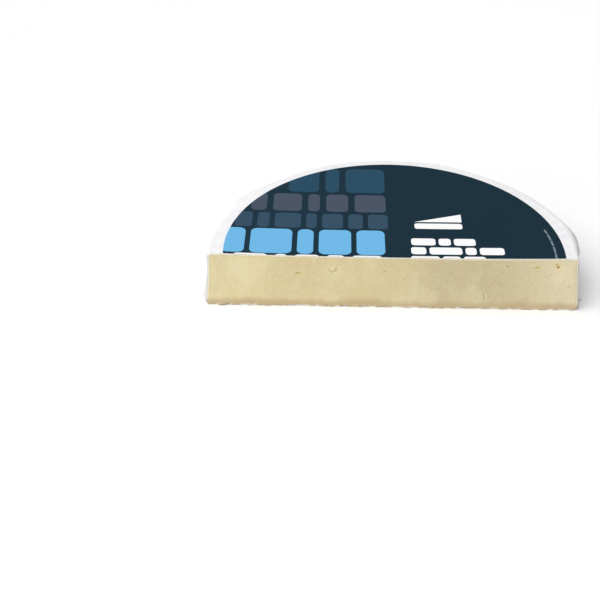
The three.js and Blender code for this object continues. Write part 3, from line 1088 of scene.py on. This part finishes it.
class Wrap:
    """The wrap's surfaces: the plain inside and the folded outside."""

    def __init__(self, wheel, paper):
        self.wheel = wheel
        self.paper = paper
        self.mains = main_folds(wheel, paper)
        self.smalls = small_folds(paper)
        self.main_angles = [fold.angle for fold in self.mains]
        self.near = [self.folds_near(column / paper.columns) for column in range(paper.columns + 1)]
        self.rows = wrap_section(wheel, paper)

    def folds_near(self, share):
        """Folds that can reach a place on the way round."""
        angle = fan_angle(share, self.wheel.radius)
        near = []
        for fold in self.mains + self.smalls:
            if abs(fold.angle - angle) * self.wheel.radius < fold.reach + NEAR_SLACK:
                near.append(fold)
        return near

    def neighbours(self, angle):
        """The main folds on both sides of an angle."""
        number = bisect(self.main_angles, angle)
        return self.mains[number - 1], self.mains[number]

    def pull(self, angle, drop):
        """Turn that draws the mesh's columns towards the main folds so that their edges run along it."""
        this, following = self.neighbours(angle)
        gap = following.angle - this.angle
        share = (angle - this.angle) / gap
        lean = (1 - share) * this.lean + share * following.lean
        return lean * clamp(drop) / self.wheel.radius - PULL_SHARE * gap * math.sin(TURN * share) / TURN

    def panel(self, angle, radius):
        """How far a taut flat panel between two main folds stands off the round side."""
        this, following = self.neighbours(angle)
        return radius / math.cos(angle - (this.angle + following.angle) / 2) - radius

    def lip(self, along, down):
        """The rounded lip of the rim, which ends in a wavering dark line over small gathers."""
        end = moved(LIP_END, wave(along / LIP_END_WAVE, 0, 31.0)) * MM
        out = LIP_HEIGHT * moved(LIP_UNEVEN, wave(along / LIP_WAVE, 0, 33.0))
        bulge = out * ease((down - LIP_START) / LIP_RISE) * ease((end - down) / LIP_FALL)
        gather = GATHER_HEIGHT * (GATHER_BASE + wave(along / GATHER_WIDTH, down / GATHER_LENGTH, 21.0))
        return bulge + max(0.0, gather) * bell(down - GATHER_MIDDLE, GATHER_REACH)

    def bunch(self, angle, down, drop):
        """Small gathers where the sheet is bunched up at the corners of the foot."""
        radius = self.wheel.radius
        near = sum(bell((angle - math.radians(at)) * radius, BUNCH_REACH) for at, _ in FOOT_CORNERS)
        gather = BUNCH_BASE + wave(angle * radius / BUNCH_WIDTH, down / BUNCH_LENGTH, 81.0)
        return BUNCH_HEIGHT * near * gather * ease((drop - BUNCH_START) / BUNCH_RISE)

    def outside(self, column, row):
        """Point of the folded outside, how far it stands out from the plain wrap, and how near an edge is."""
        share = column / self.paper.columns
        if row.radius < HUB_RADIUS:
            return self.flat(share, row, 0), 0.0, 0.0
        drop = drop_of(row)
        angle = fan_angle(share, row.radius)
        cling = self.cling(angle, row.radius)
        angle += self.pull(angle, drop) * cling * ease((row.radius - HUB_RADIUS) / PULL_REACH)
        along = angle * self.wheel.radius
        folded = crumple(along, row.down, self.paper)
        near = 0.0
        for fold in self.near[column]:
            rise, edge = fold.rise(angle, row.radius, drop)
            folded += rise
            near = max(near, edge)
        folded += self.bunch(angle, row.down, drop)
        busy = 1 - CALMER * bell(angle - CALM_ANGLE, CALM_SPREAD)
        below_rim = from_least(AT_RIM, ease((row.down - RIM_START) / RIM_REACH))
        proud = self.lip(along, row.down) + busy * below_rim * folded
        proud += self.panel(angle, row.radius) * clamp(drop)
        proud = max(TOUCHING, proud) * from_least(AT_CUT, cling) * ease(FOLDS_END - drop)
        if row.turned == 0:
            proud = max(0.0, TOP_SHARE * proud) * ease((row.radius - LABEL_HIGH.x) / TOP_REACH)
        loose = looseness(angle, row, self.wheel)
        point = self.shifted(angle, row, proud, loose)
        if row.turned == 2:
            point.z = clamp(UNDER_SHARE * proud, 0, UNDER_LIFT)
        return point, (proud + LOOSE_SHOWS * loose) / MM, near * cling

    def shifted(self, angle, row, proud, loose):
        """Point of the wrap moved out by its folds and its looseness, and never past the knife's plane."""
        tilt = row.turned * math.pi / 2
        out = row.radius + proud * math.sin(tilt) + loose
        out += swell(angle, height_share(row.height)) * ease((out - HUB_RADIUS) / SWELL_REACH)
        height = max(0.0, row.height + proud * math.cos(tilt))
        return Vector((out * math.cos(angle), max(CUT_Y, out * math.sin(angle)), height))

    def flat(self, share, row, inset):
        """Point of the flat middle of the top or of the underside."""
        spot = fan_spot(share, row.radius)
        height = top_height(spot.length, self.wheel) - inset if row.turned == 0 else inset
        return Vector((*spot, height))

    def cling(self, angle, radius):
        """0 at the cut, where the folds die away, and 1 away from it."""
        return ease((radius * math.sin(angle) - CUT_Y) / HUG_REACH)

    def inside(self, column, row):
        """Point of the plain inside, which opens out to the loose paper at the cut."""
        share = column / INSIDE_COLUMNS
        thickness = self.paper.thickness
        if row.radius < HUB_RADIUS:
            return (self.flat(share, row, thickness),)
        angle = fan_angle(share, row.radius)
        loose = looseness(angle, row, self.wheel) if column in (0, INSIDE_COLUMNS) else 0
        return (self.shifted(angle, row, -thickness, loose),)


def paper_mesh(wheel, paper):
    """A folded outside and a plain inside, joined along the cut."""
    wrap = Wrap(wheel, paper)
    rows = wrap.rows
    last = len(rows) - 1
    shape = shaped_grid(
        paper.columns, last, lambda column, row: wrap.outside(column, rows[row]), ("proud", "fold_edge")
    )
    join_sheets(shape, shaped_grid(INSIDE_COLUMNS, last, lambda column, row: wrap.inside(column, rows[row])))
    # Under the foot the cut edge strays back behind the knife's plane
    for vert in shape.verts:
        behind = vert.co.y - CUT_Y
        if behind < RECESS_REACH and vert.co.z < RECESS_HEIGHT:
            stray = FOOT_RECESS * clamp(moved(RECESS_UNEVEN, wave(vert.co.x / RECESS_WAVE, 0, 50.0)))
            vert.co.y += stray * ease(1 - behind / RECESS_REACH) * ease(1 - vert.co.z / RECESS_HEIGHT)
    return shape


def paper_finish(paper):
    """Thin white paper, greyer and warmer on the side and underside, partly where the moist rind shows
    through it and partly as painted shade.
    """
    finish = Finish("wrapping_paper")
    x, y, z = finish.axes(finish.place)
    blotch = finish.noise(38, detail=5, roughness=0.6, distortion=0.4)
    crinkle = finish.noise(95, detail=6, roughness=0.62, distortion=0.8)
    speck = finish.noise(240, detail=3)
    low = finish.span(z, 41 * MM, 43.8 * MM, 1, 0)

    # The rind shows through where the sheet lies on it, and the same grey is painted shade over the side
    # below the rim, most in the hollows between folds; along the cut at the right end it is painted shade
    # alone.
    touching_and_shade = finish.span(finish.attribute("proud"), -0.3, 4.0, 1, 0.25)
    # Near a fold's edge the paper stays whiter: partly doubled paper, partly a painted highlight
    off_edge = finish.span(finish.attribute("fold_edge"), 0.1, 0.9, 1, 0.1)
    off_cut = finish.span(y, CUT_Y + 0.4 * MM, CUT_Y + 2 * MM)
    uneven = finish.span(blotch, 0.3, 0.75, 0.5, 1)
    # Painted shade on the side along the cut at the right end, which faces away from the light
    right_end = finish.math("GREATER_THAN", x, LABEL_HIGH.x)
    right_edge_shade = finish.times(low, right_end, finish.math("SUBTRACT", 1.0, off_cut))
    damp_and_shade = finish.math("MAXIMUM", finish.times(low, touching_and_shade, off_edge, off_cut, uneven), right_edge_shade)

    dry = finish.mix(finish.span(crinkle, 0.42, 0.62, 0, 0.6), paper.white, (0.80, 0.79, 0.82))
    colour = finish.mix(damp_and_shade, dry, paper.damp_and_shade)
    specks = finish.times(low, finish.span(speck, 0.55, 0.8, 0, 0.3))
    colour = finish.mix(specks, colour, (0.5, 0.47, 0.44))
    # Painted shade: browner towards the floor, over the lowest 3.5 mm of the wrap
    colour = finish.mix(finish.span(z, 0.2 * MM, 3.5 * MM, 0.5, 0), colour, (0.42, 0.36, 0.30))

    # The knife leaves the sheet's edge a little soiled, except where it stands loose at the left
    at_knife = finish.span(y, CUT_Y + 0.5 * MM, CUT_Y, 0, 0.55)
    soiled = finish.times(at_knife, finish.span(x, -124 * MM, -116 * MM))
    colour = finish.mix(soiled, colour, (0.62, 0.55, 0.44))

    creases = finish.cells(120, "DISTANCE_TO_EDGE", finish.scaled((1, 1, 0.7)))
    fibre = finish.noise(900, detail=3, roughness=0.7)
    normal = finish.bump(finish.span(creases, 0, 0.06), 0.25, 0.25 * MM)
    normal = finish.bump(crinkle, 0.3, 0.8 * MM, normal)
    normal = finish.bump(fibre, 0.15, 0.1 * MM, normal)
    finish.set(
        Base_Color=colour,
        Roughness=finish.span(blotch, 0.3, 0.8, 0.5, 0.68),
        Normal=normal,
        Subsurface_Weight=0.12,
        Subsurface_Radius=(1.0, 0.85, 0.7),
        Subsurface_Scale=1.2 * MM,
        Specular_IOR_Level=0.3,
    )
    return finish.material


class BRIE_OT_paper(bpy.types.Operator):
    """Builds the pleated wrapping paper"""

    bl_idname = "brie.paper"
    bl_label = "Wrapping paper"

    def execute(self, context):
        paper = context.scene.brie_paper
        shape = paper_mesh(context.scene.brie_wheel, paper)
        finish_piece(shape, "pleated_paper", "paper_wrap", paper_finish(paper))
        return {"FINISHED"}


# The label

# Rows of rounded blocks, in millimetres: left end, widths, gap, low edge, high edge and corner
SLATE_ROW = (-80, (24, 11, 31), 5, 81, 117, 5.0)
PLUM_ROW = (-108, (12, 22, 9, 17, 24), 5, 53, 78, 4.0)
STEEL_ROW = (-119, (13, 9, 20, 8, 16, 11, 15), 4, 29.5, 50, 3.2)
SKY_ROW = (-127, (17, 31, 12, 24, 21), 4, -5.5, 27.5, 5.0)
EDGE_ROW = (-118, (26, 10, 19, 14, 23), 4.5, -30, -6.4, 4.0)
FIRST_LINE = (13.5, (18, 9, 16), 2.3, 8.6, 17.8, 2.4)
SECOND_LINE = (13, (11, 24, 8, 18), 2.4, -3.3, 6.0, 2.4)
THIRD_LINE = (12.4, (21, 13, 16), 2.2, -15, -5.7, 2.4)
LABEL_COLUMNS = 300
LABEL_LIFT = 0.05 * MM
LABEL_SHARES = (0, 0.2, 0.4, 0.55, 0.7, 0.8, 0.9, 0.95, 0.98, 1)  # of its radius
SIGN_LEFT = 17
SIGN_RIGHT = 53
SIGN_LOW = 40.5
SIGN_RISE = 11
SIGN_BASE = (SIGN_LEFT, (SIGN_RIGHT - SIGN_LEFT,), 0, 31, 38.5, 2.0)
RING_RADIUS = 118 * MM
RING_HALF = 0.75 * MM
RING_START = math.radians(-6)
RING_END = math.radians(15)
# Dashes and their groups: how many to a radian, and the printed share of each
DASHES = (92.0, 0.62)
DASH_GROUPS = (14.0, 0.86)
RING_STRENGTH = 0.6


def block_row(finish, x, y, row):
    """1 inside a row of rounded blocks and 0 outside, from the distance to the nearest block's core."""
    left, widths, gap, low, high, corner = row
    along = None
    start = left
    for width in widths:
        middle = (start + width / 2) * MM
        off = finish.math("ABSOLUTE", finish.math("SUBTRACT", x, middle))
        out = finish.math("SUBTRACT", off, (width / 2 - min(corner, width / 2)) * MM)
        along = out if along is None else finish.math("MINIMUM", along, out)
        start += width + gap
    off = finish.math("ABSOLUTE", finish.math("SUBTRACT", y, (low + high) / 2 * MM))
    across = finish.math("SUBTRACT", off, ((high - low) / 2 - corner) * MM)
    sides = [finish.math("POWER", finish.math("MAXIMUM", side, 0.0), 2.0) for side in (along, across)]
    return finish.math("LESS_THAN", finish.math("ADD", *sides), (corner * MM) ** 2)


def wedge_sign(finish, x, y):
    """A plain sign of a wedge of cheese: a rounded bar with a low triangle over it."""
    slope = SIGN_RISE / (SIGN_RIGHT - SIGN_LEFT)
    climb = finish.times(finish.math("SUBTRACT", x, SIGN_LEFT * MM), slope)
    under = finish.math("LESS_THAN", y, finish.math("ADD", climb, SIGN_LOW * MM))
    over = finish.math("GREATER_THAN", y, SIGN_LOW * MM)
    before = finish.math("LESS_THAN", x, SIGN_RIGHT * MM)
    return finish.math("MAXIMUM", finish.times(under, over, before), block_row(finish, x, y, SIGN_BASE))


def rim_dashes(finish, x, y):
    """Fine pale dashes along the label's right rim."""
    squares = [finish.math("POWER", way, 2.0) for way in (x, y)]
    far = finish.math("SQRT", finish.math("ADD", *squares))
    off = finish.math("ABSOLUTE", finish.math("SUBTRACT", far, RING_RADIUS))
    angle = finish.math("ARCTAN2", y, x)
    masks = [finish.math("LESS_THAN", off, RING_HALF)]
    for count, printed in (DASHES, DASH_GROUPS):
        step = finish.math("FRACT", finish.times(angle, count))
        masks.append(finish.math("LESS_THAN", step, printed))
    masks.append(finish.math("LESS_THAN", angle, RING_END))
    masks.append(finish.math("GREATER_THAN", angle, RING_START))
    return finish.times(*masks, RING_STRENGTH)


def label_finish(label):
    """Printed paper: a navy ground with rows of blocks, lines of small blocks and a plain sign."""
    finish = Finish("label_print")
    x, y, _ = finish.axes(finish.place)
    tone = finish.noise(18, detail=3)
    ground = finish.mix(finish.span(x, -120 * MM, 10 * MM, 0.6, 0), label.navy, (0.013, 0.036, 0.058))
    colour = finish.mix(finish.span(tone, 0.3, 0.7, 0, 0.1), ground, (0.02, 0.04, 0.055))
    prints = (
        (SLATE_ROW, label.slate),
        (PLUM_ROW, label.plum),
        (STEEL_ROW, label.steel),
        (SKY_ROW, label.sky),
        (EDGE_ROW, label.white),
        (FIRST_LINE, label.white),
        (SECOND_LINE, label.white),
        (THIRD_LINE, label.white),
    )
    for row, ink in prints:
        colour = finish.mix(block_row(finish, x, y, row), colour, ink)
    colour = finish.mix(wedge_sign(finish, x, y), colour, label.white)
    colour = finish.mix(rim_dashes(finish, x, y), colour, (0.45, 0.55, 0.62))
    fibre = finish.noise(700, detail=3, roughness=0.7)
    ripple = finish.noise(26, detail=3)
    normal = finish.bump(ripple, 0.1, 1.2 * MM)
    normal = finish.bump(fibre, 0.05, 0.05 * MM, normal)
    finish.set(
        Base_Color=colour,
        Roughness=finish.span(fibre, 0.3, 0.7, 0.55, 0.68),
        Normal=normal,
        Specular_IOR_Level=0.05,
    )
    return finish.material


class BRIE_OT_label(bpy.types.Operator):
    """Builds the half of the round top label"""

    bl_idname = "brie.label"
    bl_label = "Label"

    def execute(self, context):
        wheel = context.scene.brie_wheel
        label = context.scene.brie_label

        def sheet(lift):
            def place(column, row):
                spot = fan_spot(column / LABEL_COLUMNS, LABEL_HIGH.x * LABEL_SHARES[row])
                return (Vector((*spot, top_height(spot.length, wheel) + lift)),)

            return shaped_grid(LABEL_COLUMNS, len(LABEL_SHARES) - 1, place)

        shape = sheet(LABEL_LIFT + label.thickness)
        join_sheets(shape, sheet(LABEL_LIFT))
        finish_piece(shape, "round_label", "top_label", label_finish(label))
        return {"FINISHED"}


# The studio

FLOOR_HALF = 60  # half the floor's width, in metres, so that its edge shows in no view
FLOOR_FACES = 8
SUN_FROM = (-0.5, -0.32, 1.0)
SUN_ANGLE = math.radians(60)
SUN_STRENGTH = 2.5
LAMP_PLACE = (-0.75, -0.8, 0.35)
LAMP_TARGET = (-0.05, 0, 0.02)
LAMP_SIZE = 0.5
LAMP_POWER = 1.4
CAMERA_RISE = 1.0 * MM  # how far the camera is moved up across its own view


def floor_finish():
    """A matt floor, nearly white."""
    finish = Finish("pale_floor")
    tone = finish.noise(3, detail=2)
    finish.set(
        Base_Color=finish.mix(finish.span(tone, 0.3, 0.7), (0.93, 0.93, 0.93), (0.95, 0.95, 0.95)),
        Roughness=0.8,
        Specular_IOR_Level=0.1,
    )
    return finish.material


def add_floor(scene):
    """A wide flat floor under the wheel."""
    ground = bmesh.new()
    bmesh.ops.create_grid(ground, x_segments=FLOOR_FACES, y_segments=FLOOR_FACES, size=FLOOR_HALF)
    mesh = bpy.data.meshes.new("studio_floor")
    ground.to_mesh(mesh)
    ground.free()
    mesh.materials.append(floor_finish())
    floor = bpy.data.objects.new("studio_floor", mesh)
    scene.collection.objects.link(floor)


def add_light(scene, strength):
    """A white surround, a wide soft sun and a lamp at the left of the camera."""
    world = bpy.data.worlds.new("white_surround")
    world.use_nodes = True
    surround = world.node_tree.nodes["Background"]
    surround.inputs["Color"].default_value = (1, 1, 1, 1)
    surround.inputs["Strength"].default_value = strength
    scene.world = world

    sun = bpy.data.lights.new("soft_window", "SUN")
    sun.angle = SUN_ANGLE
    sun.energy = SUN_STRENGTH
    window = bpy.data.objects.new("soft_window", sun)
    window.rotation_euler = Vector(SUN_FROM).to_track_quat("Z", "Y").to_euler()
    scene.collection.objects.link(window)

    area = bpy.data.lights.new("left_front", "AREA")
    area.shape = "SQUARE"
    area.size = LAMP_SIZE
    area.energy = LAMP_POWER
    lamp = bpy.data.objects.new("left_front", area)
    lamp.location = LAMP_PLACE
    aim = Vector(LAMP_TARGET) - Vector(LAMP_PLACE)
    lamp.rotation_euler = aim.to_track_quat("-Z", "Y").to_euler()
    scene.collection.objects.link(lamp)


def add_camera(scene, studio):
    """The camera, which looks down on the cut face."""
    camera_data = bpy.data.cameras.new("camera")
    camera_data.lens = studio.lens
    camera = bpy.data.objects.new("camera", camera_data)
    level = studio.distance * math.cos(studio.elevation)
    height = studio.distance * math.sin(studio.elevation)
    back = level - CAMERA_RISE * math.sin(studio.elevation)
    across = Vector((math.cos(studio.turn), math.sin(studio.turn), 0))
    ahead = Vector((-math.sin(studio.turn), math.cos(studio.turn), 0))
    camera.location = -studio.aside * across - back * ahead
    camera.location.z = height + CAMERA_RISE * math.cos(studio.elevation)
    camera.rotation_euler = (math.pi / 2 - studio.elevation, 0, studio.turn)
    scene.collection.objects.link(camera)
    scene.camera = camera


class BRIE_OT_studio(bpy.types.Operator):
    """Adds the floor, the soft light and the camera"""

    bl_idname = "brie.studio"
    bl_label = "Studio"

    def execute(self, context):
        scene = context.scene
        add_floor(scene)
        add_light(scene, scene.brie_studio.sky)
        add_camera(scene, scene.brie_studio)
        scene.view_settings.view_transform = "Standard"
        return {"FINISHED"}


class BRIE_PT_panel(bpy.types.Panel):
    """Lists the pieces of the half wheel"""

    bl_label = "Half Brie Wheel"
    bl_idname = "BRIE_PT_panel"
    bl_space_type = "VIEW_3D"
    bl_region_type = "UI"
    bl_category = "Brie"

    def draw(self, context):
        layout = self.layout
        for operator, settings in STEPS:
            box = layout.box()
            box.operator(operator)
            group = getattr(context.scene, settings)
            for key in group.bl_rna.properties.keys():
                if key not in ("rna_type", "name"):
                    box.prop(group, key)


STEPS = (
    ("brie.cheese", "brie_wheel"),
    ("brie.paper", "brie_paper"),
    ("brie.label", "brie_label"),
    ("brie.studio", "brie_studio"),
)
SETTINGS = {
    "brie_wheel": WheelSettings,
    "brie_paper": PaperSettings,
    "brie_label": LabelSettings,
    "brie_studio": StudioSettings,
}
CLASSES = (
    *SETTINGS.values(),
    BRIE_OT_cheese,
    BRIE_OT_paper,
    BRIE_OT_label,
    BRIE_OT_studio,
    BRIE_PT_panel,
)


def register():
    for cls in CLASSES:
        bpy.utils.register_class(cls)
    for name, group in SETTINGS.items():
        setattr(bpy.types.Scene, name, PointerProperty(type=group))


def unregister():
    for name in SETTINGS:
        delattr(bpy.types.Scene, name)
    for cls in reversed(CLASSES):
        bpy.utils.unregister_class(cls)


def main():
    register()
    bpy.ops.brie.cheese()
    bpy.ops.brie.paper()
    bpy.ops.brie.label()
    bpy.ops.brie.studio()


if __name__ == "__main__":
    main()
